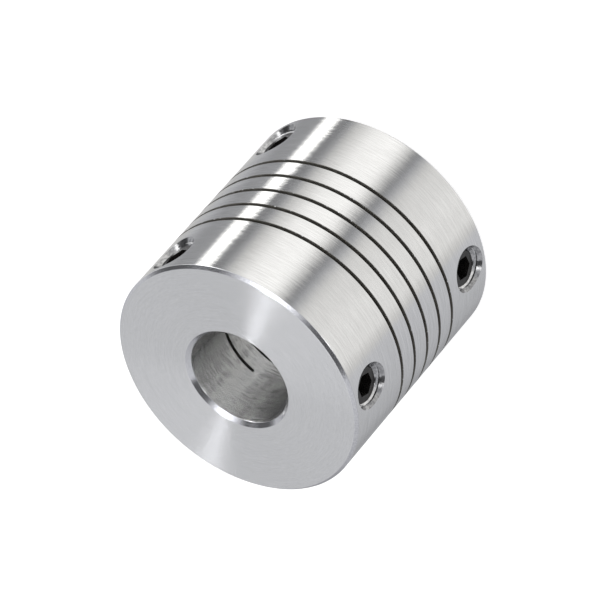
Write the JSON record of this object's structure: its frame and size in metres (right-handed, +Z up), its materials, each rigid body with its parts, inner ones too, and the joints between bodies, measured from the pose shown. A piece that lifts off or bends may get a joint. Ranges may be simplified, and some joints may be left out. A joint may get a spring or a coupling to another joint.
{
  "type": "helical shaft coupling",
  "caption": "Flexible coupling turned from one bar, with a helical slit around its middle and hexagon socket set screws that clamp a shaft in each hub.",
  "frame": {"origin": "centre of the lower end face, on which the coupling stands", "axes": "+Z up along the bore, out of the upper hub; -Y midway between the two set screws of each hub"},
  "size_m": [0.025, 0.025, 0.0241],
  "materials": {
    "satin_aluminium": "turned, satin",
    "black_oxide_steel": "black oxide"
  },
  "bodies": {
    "root": {"coupling_body": "satin_aluminium", "upper_left_set_screw": "black_oxide_steel", "upper_right_set_screw": "black_oxide_steel", "lower_left_set_screw": "black_oxide_steel", "lower_right_set_screw": "black_oxide_steel"}
  },
  "joints": []
}
